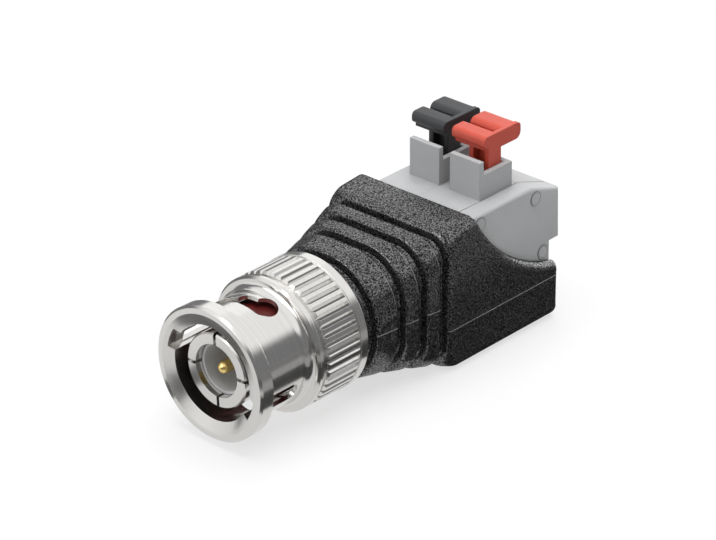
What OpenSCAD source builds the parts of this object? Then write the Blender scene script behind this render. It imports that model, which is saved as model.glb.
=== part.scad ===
// Coaxial bayonet plug with a moulded boot and a two-pole push-button terminal block.
// The plug's axis runs along Y through the origin, and the coupling nut's front face lies at y = 0.
// The plug faces -Y, the wires enter the block along -Y from behind, and the buttons stand on top at +Z.
// A turned part gives its places along the axis as distances behind the nut's front face.

/* [Coupling nut] */
// Radius of the front rim
nut_rim_r = 7.25; // [7.1:0.05:7.5]
// Axial width of the front rim
nut_rim_w = 1.9; // [1.6:0.1:2.2]
// Radius of the neck that the bayonet tracks break through
nut_neck_r = 6.1; // [6:0.05:6.4]
// Distance of the neck's end behind the front face
nut_neck_end = 8.15; // [7.9:0.05:8.4]
// Width of the plain ring behind the neck
nut_ring_w = 0.65; // [0.5:0.05:0.9]
// Radius of the plain ring
nut_ring_r = 7.3; // [7.1:0.05:7.4]
// Fillet between the neck and the ring
neck_fillet = 0.85; // [0.4:0.05:0.9]
// Width of the turned groove between the ring and the knurl
nut_groove_w = 0.7; // [0.4:0.05:0.8]
// Radius at the floor of that groove
nut_groove_r = 6.85; // [6.6:0.05:6.95]
// Radius over the knurl
knurl_r = 7.32; // [7.1:0.02:7.5]
// Length of the flutes
knurl_len = 4.7; // [4:0.1:5]
// Number of flutes round the nut
knurl_count = 48; // [36:1:54]
// Width of a flute
flute_w = 0.52; // [0.4:0.02:0.6]
// Depth of a flute
flute_depth = 0.34; // [0.2:0.01:0.36]
// Radius of the plain rim behind the knurl
nut_tail_r = 7.4; // [7.2:0.05:7.6]
// Width of the plain rim behind the knurl
nut_tail_w = 1.2; // [0.9:0.1:1.6]
// Break on the nut's outer edges
nut_edge = 0.25; // [0.1:0.05:0.35]
// Bore that passes over the mating socket
nut_bore_r = 5.15; // [5:0.05:5.2]
// Outer radius of the shallow dish in the front face
nut_dish_r = 6.45; // [6.2:0.05:6.6]
// Depth of the dish at the bore
nut_dish_depth = 0.45; // [0.2:0.05:0.6]

/* [Bayonet] */
// Width of a bayonet track inside the nut
track_w = 2.2; // [2.1:0.05:2.4]
// Direction of the first entry, in degrees from +X towards +Z
entry_angle = 158; // [154:1:162]
// Width of an entry in the front rim
entry_w = 2.4; // [2.2:0.1:2.8]
// Width of the slot that breaks through the neck behind an entry
slot_w = 2.1; // [1.6:0.1:2.2]
// Distance of that slot's end behind the front face
slot_end = 6.6; // [6:0.1:6.8]
// Turn from the entry to the seat of the bayonet pin
track_turn = 86; // [84:1:90]
// Distance of the track's centre behind the front face at the entry
track_start_y = 3.1; // [2.9:0.1:3.3]
// Distance of the seat's centre behind the front face
seat_y = 6.2; // [6.05:0.05:6.3]
// Radius of the round seat that shows through the neck
seat_r = 1.35; // [1.2:0.05:1.4]
// Width of the ramp where it leaves the seat
ramp_w = 2; // [1.7:0.05:2.1]
// Width of the ramp where it nears the front rim
ramp_mouth_w = 1.3; // [1:0.05:1.4]

/* [Plug body] */
// Radius of the slotted outer contact
finger_r = 4.05; // [4:0.01:4.1]
// Wall of the outer contact
finger_wall = 1.2; // [1.1:0.05:1.3]
// Distance of the contact's end behind the nut's front face
finger_y = 1.05; // [0.9:0.05:1.3]
// Width of the slots between the fingers
finger_slot_w = 0.36; // [0.25:0.01:0.5]
// Length of the slots
finger_slot_len = 4.2; // [3:0.1:4.3]
// Number of fingers
finger_count = 4; // [3:1:6]
// Rounding of the fingers' outer edge
finger_edge = 0.15; // [0.05:0.05:0.25]
// Radius of the flange that the nut pulls on
flange_r = 5.5; // [5.3:0.05:5.55]
// Thickness of the flange
flange_t = 1.2; // [1:0.05:1.3]
// Radius of the tail behind the flange
tail_r = 4.3; // [4.2:0.05:4.4]
// Radius of the collar that the boot grips
grip_r = 5.1; // [4.8:0.1:5.2]
// Length of that collar
grip_len = 2.6; // [2:0.1:3]
// Thickness of the sealing gasket along the axis
gasket_len = 2.6; // [2:0.1:3]

/* [Nut retention] */
// Forward travel of the nut against its spring washers
nut_travel = 1; // [0.6:0.1:1.2]
// Thickness of the thrust washer
thrust_t = 0.5; // [0.4:0.05:0.7]
// Thickness of the retaining ring pressed into the nut
retainer_t = 0.7; // [0.6:0.05:1]
// Strip thickness of a wave washer
wave_t = 0.3; // [0.2:0.02:0.36]
// Crests on a wave washer
wave_count = 3; // [2:1:4]

/* [Insulator and pin] */
// Wall of the insulator's lining in front
lining_wall = 0.3; // [0.26:0.02:0.44]
// Set-back of the lining behind the fingers' end
lining_setback = 0.9; // [0.6:0.05:1.1]
// Depth of the insulator's floor behind the nut's front face
floor_y = 6.1; // [5.8:0.1:6.5]
// Thickness of the insulator's head behind that floor
head_len = 2.6; // [2:0.1:3]
// Radius of the insulator's rear stem
stem_r = 2.3; // [2:0.1:2.4]
// Radius of the centre pin's contact
pin_r = 0.675; // [0.66:0.005:0.69]
// Distance of the pin's tip behind the nut's front face
pin_y = 1.55; // [1.4:0.05:1.9]
// Radius of the pin's shank in the insulator
shank_r = 1; // [0.9:0.05:1.2]
// Length of the solder cup behind the insulator
cup_len = 2; // [1.6:0.1:2.4]
// Depth of the solder cup's hole
cup_depth = 1.5; // [1.2:0.1:1.6]

/* [Boot] */
// Gap between the nut and the boot
boot_gap = 0.6; // [0.4:0.05:0.8]
// Half width of the boot's front end
boot_front_half_w = 7.3; // [7.1:0.05:7.4]
// Height of the boot's front end above the axis
boot_front_top = 7.05; // [6.9:0.05:7.2]
// Depth of the boot's front end below the axis
boot_front_bottom = 6.8; // [6.8:0.05:7]
// Wall of the boot beside the terminal block's end cover
side_wall = 0.8; // [0.75:0.05:1.2]
// Height of the ribs' tops above the axis where they meet the body
rib_top = 7.85; // [7.7:0.05:8]
// Depth of the ribs below the axis where they meet the body
rib_bottom = 7.6; // [7.4:0.05:7.8]
// Length of the plain collar in front of the ribs
collar_len = 0.7; // [0.5:0.05:0.9]
// Length of the first rib
first_rib_len = 2.7; // [2.4:0.1:3]
// Number of ribs in front of the body
rib_count = 3; // [2:1:4]
// Distance from one rib to the next
rib_pitch = 2.85; // [2.6:0.05:3]
// Width of a groove between ribs
rib_gap = 1.15; // [0.8:0.05:1.4]
// Depth of a groove between ribs
rib_depth = 1.05; // [0.8:0.05:1.1]
// Height of the body's top edge in front of the terminal block
body_top = 8.4; // [8.2:0.05:8.6]
// Depth of the body's underside below the axis
body_bottom = 7.9; // [7.8:0.05:8.2]
// Length of the roof over the front of the body
roof_len = 4.35; // [4:0.05:5]
// Corner radius at the front of the body
body_corner_front = 2.9; // [2.4:0.1:3.2]
// Corner radius along the body
body_corner = 1.5; // [1:0.1:1.7]
// Height of the side walls at the rear, measured from the axis
side_rear_z = -1.4; // [-2:0.1:-1]
// Radius of the concave top edge of the side walls
side_arc_r = 19.6; // [17:0.1:26]
// Rounding of that edge on the outside
side_round = 0.7; // [0.3:0.05:0.8]

/* [Terminal block] */
// Width of one pole
pole_pitch = 5.5; // [5.3:0.05:5.6]
// Place of the joint between the two poles
pole_joint_x = 0; // [-0.2:0.05:0.2]
// Depth of the block from its front to the lower rear face
block_len = 12.5; // [12.2:0.1:12.8]
// Set-back of the lower rear face behind the upper one
block_step = 1.5; // [1:0.1:1.8]
// Height of that step above the axis
step_z = 0.9; // [0.6:0.1:1.2]
// Height of the block's top above the axis
block_top = 8.1; // [8:0.05:8.2]
// Depth of the block's underside below the axis
block_bottom = 6.9; // [6.7:0.05:7.1]
// Height of the upper rear edge
rear_edge_z = 6.6; // [6.2:0.1:7]
// Length of the slope down to the rear edge
slope_len = 4.4; // [3.8:0.1:4.8]
// Thickness of the end cover
cover_t = 2.15; // [1.8:0.05:2.2]
// Rounding of the end cover's upper outer edge
cover_round = 0.4; // [0.2:0.05:0.6]
// Side wall of a pole
pole_wall = 0.9; // [0.7:0.05:1]
// Wall above and below the clamp's chamber
chamber_wall = 1.5; // [1.3:0.05:1.6]
// Wall in front of the clamp's chamber
chamber_front = 1.25; // [1:0.05:1.4]
// Radius of the pegs that join the poles and the cover
peg_r = 0.65; // [0.5:0.05:0.7]
// Radius of a wire entry
wire_r = 1.2; // [1:0.05:1.3]
// Widening of a wire entry at the rear face
funnel = 0.45; // [0.2:0.05:0.5]

/* [Button guide] */
// Width of the guide box on a pole
box_w = 4.05; // [3.9:0.05:4.2]
// Distance of the box's front wall behind the block's front
box_y = 3.6; // [3.3:0.1:3.8]
// Depth of the box along the axis
box_len = 5.1; // [5:0.1:5.3]
// Wall of the box
box_wall = 0.62; // [0.55:0.01:0.64]
// Height of the box's front wall above the block
box_front_h = 4.25; // [3.9:0.05:4.35]
// Height of the box's other walls above the block
box_side_h = 2.75; // [2.5:0.05:2.85]

/* [Buttons] */
// Travel of a button
button_travel = 1.6; // [1.2:0.1:1.6]
// Depth of a button's stem along the axis
stem_len = 2; // [1.8:0.05:2.1]
// Length of a button's cap along the axis
cap_len = 5.7; // [5.2:0.1:6]
// Overhang of the cap in front of the stem
cap_front = 0.6; // [0.4:0.05:0.7]
// Thickness of the cap
cap_t = 1.8; // [1.6:0.05:2]
// Overhang of the cap on the side away from the end cover
cap_side = 1.85; // [1.5:0.05:2]
// Rounding of the cap's heel
cap_round = 0.75; // [0.5:0.05:0.8]
// Thickness of the cap's nose in front of the thumb groove
nose_t = 1.3; // [1.1:0.05:1.5]
// Rounding of the nose
nose_round = 0.5; // [0.3:0.05:0.55]
// Depth of the thumb groove across the cap
groove_depth = 0.9; // [0.5:0.05:1.1]
// Thickness of the plate that closes the groove and runs down as the leg
plate_t = 0.5; // [0.4:0.05:0.7]

/* [Clamp] */
// Width of the contact bar
bar_w = 2.3; // [2:0.1:2.4]
// Thickness of the contact bar
bar_t = 0.6; // [0.5:0.05:0.7]
// Strip thickness of the clamp spring
spring_t = 0.35; // [0.25:0.05:0.4]
// Radius of the spring's loop at the middle of the strip
loop_r = 2.2; // [2:0.1:2.3]
// Slope of the spring's tongue
tongue_angle = 40; // [38:0.5:42]
// Length of the solder tail in front of the block
solder_tail = 3; // [2.5:0.1:3.5]
// Radius of the leads inside the boot
lead_r = 0.45; // [0.35:0.05:0.5]

/* [Clearances] */
// Radial clearance of turned pieces that fit together
fit_clear = 0.03; // [0.02:0.01:0.05]
// Clearance between flat faces that move on each other
face_clear = 0.05; // [0.04:0.01:0.06]
// Clearance of the buttons in their guides
guide_clear = 0.1; // [0.06:0.01:0.1]
// Clearance of the block in the boot
pocket_clear = 0.05; // [0.03:0.01:0.08]

/* [Hidden] */
$fn = 96;
// Overlap of a cutting tool with the faces that it passes
past = 1;
// Thickness of the end slices that a rib is drawn between, and lap of strips and wires that run on
slice = 0.02;
// Radial room round the flange in the nut's chamber
chamber_room = 0.2;
// Plain land between the flutes' ends and the rim behind them
flute_stop = 0.15;
// Steps from the chamber's wall in to a track's floor, and from the neck's surface in to an entry's floor
track_step = 0.1;
entry_step = 0.15;
// Set-back of the nut's inner shoulder behind the neck's end
shoulder_setback = 0.1;
// Radial room of the washers round the tail and inside the chamber
washer_room = 0.25;
washer_side = 0.15;
// Radial room of the gasket inside the nut's bore
gasket_room = 0.15;
// Turn of the first slot between the fingers
finger_turn = 2;
// Set-back of the collar behind the boot's front, and of the insulator inside the body's end
grip_setback = 1;
insulator_setback = 1.5;
// Start of the signal lead's first bend behind the pin, and gap in front of the block where leads end
bend_setback = 0.6;
lead_gap = 0.4;
// Length of the boot behind the block's lower rear face
boot_overhang = 0.45;
// Place of the body's shoulder along its roof and its share of the rise there
shoulder_place = 0.4;
shoulder_rise = 0.6;
// Length of the solid rear of a pole, which the wire entry runs through
entry_len = 2.5;
// Insets of the pegs along Y and Z, from the block's front, its lower rear face and its step
peg_front = [1.3, 1.1];
peg_rear = [2.4, 1.4];
peg_low = [1.1, 0.9];
// Wall that stays behind a peg's socket in the side of a pole
peg_stop = 0.2;
// Room behind a button's stem, and gaps that stay under a pressed cap and a pressed stem
stem_back = 0.3;
cap_rest = 0.15;
stem_rest = 0.1;
// Thickness of a button's leg, which presses on the spring, and reach of the lug that holds it in
leg_w = 1;
lug_reach = 0.6;
// Half width of the thumb groove, and its place along the cap as a share of the cap's length
thumb_half_w = 0.35;
thumb_share = 0.44;
// Side wall, foot and depth of the recess in the front of a stem
recess_wall = 0.6;
recess_foot = 0.3;
recess_depth = 0.9;
// Room beside the contact bar and the clamp spring in their chamber
bar_side = 0.25;
spring_side = 0.2;
spring_cover_side = 0.3;
// Gap between the bar's upright and the spring's loop, and between the spring's foot and the chamber's end
loop_gap = 0.15;
foot_gap = 0.6;
// Gap between a clamped wire's entry and the bar
wire_drop = 0.15;
// Height of the solder tails above the axis
tail_z = -1.6;
// Places of the ramp's start, turn and mouth in the window, from the seat forwards and round the neck
ramp_start = [0.55, 0];
ramp_turn = [0.6, 2];
ramp_mouth = [2, 4.1];
// Room round the seat inside the neck
seat_room = 0.3;

// Places along the nut
groove_y = nut_neck_end + nut_ring_w;
knurl_y = groove_y + nut_groove_w;
nut_tail_y = knurl_y + knurl_len;
nut_len = nut_tail_y + nut_tail_w;
seat_angle = entry_angle - track_turn;

// Places along the plug body: the flange bears on the nut's inner shoulder
chamber_r = flange_r + chamber_room;
track_r = chamber_r - track_step;
entry_r = nut_neck_r - entry_step;
shoulder_y = nut_neck_end + shoulder_setback;
flange_y = shoulder_y + face_clear;
flange_end = flange_y + flange_t;
// Two washers share the nut's travel, and each keeps a strip's thickness of its wave at the end of it
wave_height = nut_travel / 2 + 2 * wave_t;
wave_front_y = flange_end + face_clear;
wave_rear_y = wave_front_y + wave_height + face_clear;
thrust_y = wave_rear_y + wave_height + face_clear;
retainer_y = thrust_y + thrust_t + face_clear;
washer_r = tail_r + washer_room;
washer_outer_r = chamber_r - washer_side;
boot_y = nut_len + boot_gap;
grip_y = boot_y + grip_setback;
body_end = grip_y + grip_len;

// Bores of the plug body, and the insulator in them
finger_bore_r = finger_r - finger_wall;
head_end = floor_y + head_len;
insulator_end = body_end - insulator_setback;
pin_end = insulator_end + cup_len;

// Stations of the boot's ribs and body
ribs_y = boot_y + collar_len;
rib_step = rib_pitch - rib_gap;
body_y = ribs_y + first_rib_len + rib_gap + (rib_count - 1) * rib_pitch;
front_corner = boot_front_bottom - slice;
body_shoulder_y = body_y + shoulder_place * roof_len;
body_shoulder_top = rib_top + shoulder_rise * (body_top - rib_top);
roof_end = body_y + roof_len;
block_y = roof_end + pocket_clear;
lower_rear_y = block_y + block_len;
upper_rear_y = lower_rear_y + block_step;
boot_end = lower_rear_y + boot_overhang;

// The terminal block across the plug's axis: two equal poles and the end cover
negative_x = pole_joint_x - pole_pitch;
positive_x = pole_joint_x;
cover_x = pole_joint_x + pole_pitch;
cover_end_x = cover_x + cover_t;
boot_half_w = cover_end_x + pocket_clear + side_wall;
socket_depth = pole_wall - peg_stop;
chamber_top = rear_edge_z;
chamber_floor = chamber_wall - block_bottom;
chamber_y = block_y + chamber_front;
chamber_end = upper_rear_y - entry_len;
peg_places = [
    [block_y + peg_front.x, block_top - peg_front.y],
    [lower_rear_y - peg_rear.x, block_top - peg_rear.y],
    [lower_rear_y - peg_low.x, step_z - peg_low.y]
];

// The guide box and the button in it, across one pole from its closed side
box_x = pole_pitch - box_w;
stem_x = box_x + box_wall + guide_clear;
stem_end_x = pole_pitch - box_wall - guide_clear;
stem_w = stem_end_x - stem_x;
box_end = block_y + box_y + box_len;
stem_end_y = box_end - box_wall - stem_back;
stem_y = stem_end_y - stem_len;
stem_z = chamber_top + button_travel + stem_rest;
cap_z = block_top + box_side_h + button_travel + cap_rest;
cap_y = stem_y - cap_front;
cap_end = cap_y + cap_len;
cap_top = cap_z + cap_t;
thumb_y = cap_y + cap_len * thumb_share;

// The clamp: bar under the chamber's roof, spring below it
bar_x = pole_wall + bar_side;
bar_z = chamber_top - face_clear - bar_t;
bar_y = chamber_y + face_clear;
wire_z = bar_z - wire_r - wire_drop;
wire_x = bar_x + bar_w / 2;
lead_z = tail_z + lead_r;
lead_bend_r = 3 * lead_r;
spring_x = pole_wall + spring_side;
spring_w = pole_pitch - spring_x - spring_cover_side;
loop_y = bar_y + bar_t + loop_gap + spring_t / 2 + loop_r;
loop_z = chamber_floor + face_clear + spring_t / 2 + loop_r;
tongue_y = loop_y - loop_r * sin(tongue_angle);
tongue_z = loop_z + loop_r * cos(tongue_angle);
tongue_len = (bar_z - face_clear - spring_t - tongue_z) / sin(tongue_angle);
leg_rise = (stem_end_y - tongue_y) * tan(tongue_angle);
leg_z = tongue_z + leg_rise + spring_t / cos(tongue_angle) / 2 + face_clear;

// Turns a profile of radius and distance about the plug's axis
module turned() {
    rotate([-90, 0, 0]) rotate_extrude() children();
}

// A turned ring between two radii
module ring(inner, outer, start, length) {
    turned() translate([inner, start]) square([outer - inner, length]);
}

// Carries its children round the plug's axis, by an angle from +X towards +Z
module round_axis(angle) {
    rotate([0, -angle, 0]) children();
}

// Extrudes an outline of places along Y and Z across the part
module across(start, width) {
    translate([start, 0, 0]) rotate([90, 0, 90]) linear_extrude(width) children();
}

// A box between two corners
module block(low, high) {
    translate(low) cube(high - low);
}

// The nut's half section, from the dish round the outside and back along the bore
module nut_section() {
    polygon([
        [nut_dish_r, 0],
        [nut_rim_r - nut_edge, 0],
        [nut_rim_r, nut_edge],
        [nut_rim_r, nut_rim_w - nut_edge],
        [nut_rim_r - nut_edge, nut_rim_w],
        [nut_neck_r, nut_rim_w],
        [nut_neck_r, nut_neck_end],
        [nut_ring_r - nut_edge, nut_neck_end],
        [nut_ring_r, nut_neck_end + nut_edge],
        [nut_ring_r, groove_y],
        [nut_groove_r, groove_y],
        [nut_groove_r, knurl_y],
        [knurl_r - nut_edge, knurl_y],
        [knurl_r, knurl_y + nut_edge],
        [knurl_r, nut_tail_y],
        [nut_tail_r, nut_tail_y],
        [nut_tail_r, nut_len - nut_edge],
        [nut_tail_r - nut_edge, nut_len],
        [chamber_r, nut_len],
        [chamber_r, shoulder_y],
        [nut_bore_r, shoulder_y],
        [nut_bore_r, nut_dish_depth]
    ]);
    translate([nut_neck_r, nut_neck_end - neck_fillet]) difference() {
        square(neck_fillet);
        translate([neck_fillet, 0]) circle(neck_fillet);
    }
}

// One bayonet track: entry in the rim, slot behind it, ramp inside the neck and open window at the seat
module bayonet_track() {
    half_w = entry_w / 2;
    round_axis(entry_angle) {
        intersection() {
            block([0, -past, -half_w], [nut_rim_r, shoulder_y + past, half_w]);
            union() {
                ring(0, track_r, -past, shoulder_y + 2 * past);
                ring(0, entry_r, -past, nut_rim_w + past - entry_step);
            }
        }
        rotate([90, 0, 90]) linear_extrude(nut_rim_r)
            slot_run([nut_rim_w + slot_w / 2, 0], [slot_end - slot_w / 2, 0], slot_w);
        block([0, nut_rim_w, -slot_w / 2], [nut_neck_r + past, nut_rim_w + slot_w, slot_w / 2]);
    }
    inner_ramp();
    round_axis(seat_angle) rotate([90, 0, 90]) linear_extrude(nut_rim_r) track_window();
}

// The ramp inside the neck: its front flank climbs from the entry to the seat, and it is open behind that
module inner_ramp() {
    turn = track_turn + asin((seat_r + seat_room) / track_r);
    tilt = atan((seat_y - track_start_y) / (2 * track_r * sin(track_turn / 2)));
    intersection() {
        round_axis(entry_angle) rotate([-90, 0, 0]) rotate_extrude(angle = turn)
            translate([0, nut_rim_w]) square([track_r, shoulder_y + past - nut_rim_w]);
        round_axis(entry_angle - track_turn / 2)
            translate([0, (track_start_y + seat_y - track_w) / 2, 0]) rotate([tilt, 0, 0])
                translate([-2 * track_r, 0, -2 * track_r]) cube(4 * track_r);
    }
}

// A straight run of a slot with round ends
module slot_run(from, to, width) {
    run = to - from;
    translate(from) rotate(atan2(run.y, run.x)) translate([0, -width / 2]) square([norm(run), width]);
    translate(from) circle(width / 2);
    translate(to) circle(width / 2);
}

// The open part of a track: a round seat, a ramp and a run that turns towards the rim
module track_window() {
    seat = [seat_y, 0];
    start = [seat_y - ramp_start.x, ramp_start.y];
    turn_place = [seat_y - ramp_turn.x, ramp_turn.y];
    mouth = [seat_y - ramp_mouth.x, ramp_mouth.y];
    translate(seat) circle(seat_r);
    slot_run(start, turn_place, ramp_w);
    slot_run(turn_place, mouth, ramp_mouth_w);
}

// Cross-section of a flute: a vee that opens outwards from its floor
module flute() {
    polygon([[0, 0], [2 * flute_depth, -flute_w], [2 * flute_depth, flute_w]]);
}

module coupling_nut() {
    color("silver") difference() {
        turned() nut_section();
        for (side = [0, 180])
            round_axis(side) bayonet_track();
        for (i = [0 : knurl_count - 1])
            round_axis(i * 360 / knurl_count)
                translate([knurl_r - flute_depth, knurl_y - nut_groove_w / 2, 0]) rotate([-90, 0, 0])
                    linear_extrude(nut_groove_w / 2 + knurl_len - flute_stop) flute();
    }
}

module retaining_ring() {
    color("gainsboro") ring(washer_r, chamber_r, retainer_y, retainer_t);
}

module thrust_washer() {
    color("lightgray") ring(washer_r, washer_outer_r, thrust_y, thrust_t);
}

// A spring washer whose strip rises and falls in even waves round the ring
module wave_washer(start) {
    steps = wave_count * 20;
    swing = (wave_height - wave_t) / 2;
    inner = washer_r;
    outer = washer_outer_r;
    points = [
        for (i = [0 : steps - 1])
            let (turn = i * 360 / steps)
            let (low = start + swing * (1 + sin(turn * wave_count)))
                each [
                    [inner * cos(turn), low, inner * sin(turn)],
                    [outer * cos(turn), low, outer * sin(turn)],
                    [outer * cos(turn), low + wave_t, outer * sin(turn)],
                    [inner * cos(turn), low + wave_t, inner * sin(turn)]
                ]
    ];
    faces = [
        for (i = [0 : steps - 1])
            for (k = [0 : 3])
                let (next = (i + 1) % steps)
                let (side = (k + 1) % 4)
                    [4 * i + k, 4 * i + side, 4 * next + side, 4 * next + k]
    ];
    polyhedron(points, faces);
}

module wave_washer_front() {
    color("darkgray") wave_washer(wave_front_y);
}

module wave_washer_rear() {
    color("darkgray") wave_washer(wave_rear_y);
}

module plug_body() {
    color("silver") difference() {
        turned() difference() {
            union() {
                translate([0, finger_y]) square([finger_r, flange_y - finger_y]);
                translate([0, flange_y]) square([flange_r, flange_t]);
                translate([0, flange_end]) square([tail_r, grip_y - flange_end]);
                translate([0, grip_y]) square([grip_r, grip_len]);
            }
            translate([finger_r, finger_y]) rotate(45) square(finger_edge * sqrt(2), center = true);
            translate([0, finger_y - past]) square([finger_bore_r, head_end + fit_clear - finger_y + past]);
            translate([0, head_end]) square([stem_r + fit_clear, body_end - head_end + past]);
        }
        for (i = [0 : finger_count - 1])
            round_axis(finger_turn + i * 360 / finger_count)
                block([0, finger_y - past, -finger_slot_w / 2],
                      [finger_r + past, finger_y + finger_slot_len, finger_slot_w / 2]);
    }
}

module sealing_gasket() {
    gasket_r = nut_bore_r - gasket_room;
    color("firebrick") ring(finger_r + fit_clear, gasket_r, flange_y - gasket_len, gasket_len);
}

module insulator() {
    lining_r = finger_bore_r - fit_clear;
    lining_y = finger_y + lining_setback;
    color("dimgray") turned() difference() {
        union() {
            translate([0, lining_y]) square([lining_r, head_end - lining_y]);
            translate([0, head_end]) square([stem_r, insulator_end - head_end]);
        }
        translate([0, lining_y - past]) square([lining_r - lining_wall, floor_y - lining_y + past]);
        translate([0, floor_y - past]) square([pin_r + fit_clear, head_end - floor_y + past]);
        translate([0, head_end]) square([shank_r + fit_clear, insulator_end - head_end + past]);
    }
}

module centre_pin() {
    color("gold") turned() difference() {
        union() {
            intersection() {
                translate([0, pin_y + pin_r]) circle(pin_r);
                translate([0, pin_y]) square(pin_r * 2);
            }
            translate([0, pin_y + pin_r]) square([pin_r, head_end + fit_clear - pin_y - pin_r]);
            translate([0, head_end + fit_clear]) square([shank_r, pin_end - head_end - fit_clear]);
        }
        translate([0, pin_end - cup_depth]) square([lead_r + fit_clear, cup_depth + past]);
    }
}

// A round wire along the axis
module straight_lead(start, end) {
    translate([0, start, 0]) rotate([-90, 0, 0]) cylinder(h = end - start, r = lead_r);
}

// A bend of the same wire, a little drawn out, from the direction of +X round towards +Y
module lead_bend(angle) {
    rotate_extrude(angle = angle) translate([lead_bend_r, 0]) circle(lead_r - fit_clear);
}

// A lead that leaves the axis, steps sideways and runs on beside it, drawn in the plane of X and Y
module stepped_lead(start, bend, end, offset) {
    slant = 45;
    slant_len = (offset - 2 * lead_bend_r * (1 - cos(slant))) / sin(slant);
    run_on = bend + 2 * lead_bend_r * sin(slant) + slant_len * cos(slant);
    straight_lead(start, bend + slice);
    translate([lead_bend_r, bend, 0]) {
        rotate([0, 0, 180 - slant]) lead_bend(slant);
        rotate([0, 0, -slant]) translate([-lead_bend_r, 0, 0]) straight_lead(-slice, slant_len + slice);
    }
    translate([offset - lead_bend_r, run_on, 0]) rotate([0, 0, -slant]) lead_bend(slant);
    translate([offset, 0, 0]) straight_lead(run_on - slice, end);
}

module signal_lead() {
    offset = norm([positive_x + wire_x, lead_z]);
    color("goldenrod") round_axis(atan2(lead_z, positive_x + wire_x))
        stepped_lead(pin_end - cup_depth + face_clear, pin_end + bend_setback, block_y - lead_gap, offset);
}

module ground_lead() {
    color("goldenrod") translate([negative_x + wire_x, 0, lead_z])
        straight_lead(body_end, block_y - lead_gap);
}

// Four corner discs of a rounded rectangle that stands across the axis
module corner_discs(place, half_w, top, bottom, corner) {
    for (x = [corner - half_w, half_w - corner])
        for (z = [corner - bottom, top - corner])
            translate([x, place, z]) rotate([-90, 0, 0]) cylinder(h = slice, r = corner, $fn = 64);
}

// Share of the way from the boot's round front to its square body
function square_share(place) = (place - boot_y) / (body_y - boot_y);
// A size that changes evenly from the boot's front to its body, at a place along the axis
function tapered(front, rear, place) = front + (rear - front) * square_share(place);
// Corner radius of the ribs at a place along the axis: it falls slowly at first and faster near the body
function rib_corner(place) =
    front_corner - (front_corner - body_corner_front) * pow(square_share(place), 1.5);

// A tapering length of the ribbed front, drawn a given depth below the ribs' tops
module rib_length(start, end, depth) {
    hull()
        for (place = [start, end - slice])
            corner_discs(place, tapered(boot_front_half_w, boot_half_w, place) - depth,
                         tapered(boot_front_top, rib_top, place) - depth,
                         tapered(boot_front_bottom, rib_bottom, place) - depth, rib_corner(place) - depth);
}

// A rounded rectangle with its own top and bottom
module body_outline() {
    x = boot_half_w - body_corner;
    translate([-boot_half_w, body_corner - body_bottom])
        square([2 * boot_half_w, body_top + body_bottom - 2 * body_corner]);
    translate([-x, -body_bottom]) square([2 * x, body_top + body_bottom]);
    for (side = [-x, x])
        for (z = [body_corner - body_bottom, body_top - body_corner])
            translate([side, z]) circle(body_corner);
}

// Cuts the side walls to a concave edge that is rounded on the outside
module side_wall_cut() {
    start = [roof_end, body_top];
    end = [boot_end, side_rear_z];
    chord = end - start;
    rise = sqrt(pow(side_arc_r, 2) - pow(norm(chord) / 2, 2));
    middle = (start + end) / 2 + rise * [-chord.y, chord.x] / norm(chord);
    translate([0, middle.x, middle.y]) rotate([0, 90, 0]) rotate_extrude() difference() {
        translate([0, -boot_half_w - past]) square([side_arc_r + side_round, 2 * (boot_half_w + past)]);
        translate([side_arc_r, side_round - boot_half_w])
            square([side_round + past, 2 * (boot_half_w - side_round)]);
        for (side = [-1, 1])
            translate([side_arc_r + side_round, side * (boot_half_w - side_round)]) circle(side_round);
    }
}

module boot() {
    color([0.1, 0.1, 0.11]) difference() {
        union() {
            rib_length(ribs_y, ribs_y + first_rib_len, 0);
            for (i = [1 : rib_count - 1])
                rib_length(body_y - i * rib_pitch, body_y - i * rib_pitch + rib_step, 0);
            rib_length(boot_y, body_y, rib_depth);
            hull() {
                corner_discs(body_y, boot_half_w, rib_top, rib_bottom, body_corner_front);
                corner_discs(body_shoulder_y, boot_half_w, body_shoulder_top, body_bottom, body_corner);
                corner_discs(roof_end - slice, boot_half_w, body_top, body_bottom, body_corner);
            }
            difference() {
                translate([0, boot_end, 0]) rotate([90, 0, 0])
                    linear_extrude(boot_end - roof_end) body_outline();
                side_wall_cut();
            }
        }
        ring(0, tail_r + fit_clear, boot_y - past, grip_y - boot_y + 2 * past);
        ring(0, grip_r + fit_clear, grip_y - face_clear, block_y - grip_y + past);
        block([negative_x - pocket_clear, roof_end, -block_bottom],
              [cover_end_x + pocket_clear, boot_end + past, body_top + past]);
    }
}

// Outline of a pole along Y and Z, without its guide box
module pole_outline() {
    polygon([
        [block_y, -block_bottom],
        [lower_rear_y, -block_bottom],
        [lower_rear_y, step_z],
        [upper_rear_y, step_z],
        [upper_rear_y, rear_edge_z],
        [upper_rear_y - slope_len, block_top],
        [block_y, block_top]
    ]);
}

// The guide box's outline, with its tall wall in front
module box_outline() {
    start = block_y + box_y;
    translate([start, block_top - past]) square([box_len, box_side_h + past]);
    translate([start, block_top - past]) square([box_wall, box_front_h + past]);
}

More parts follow.
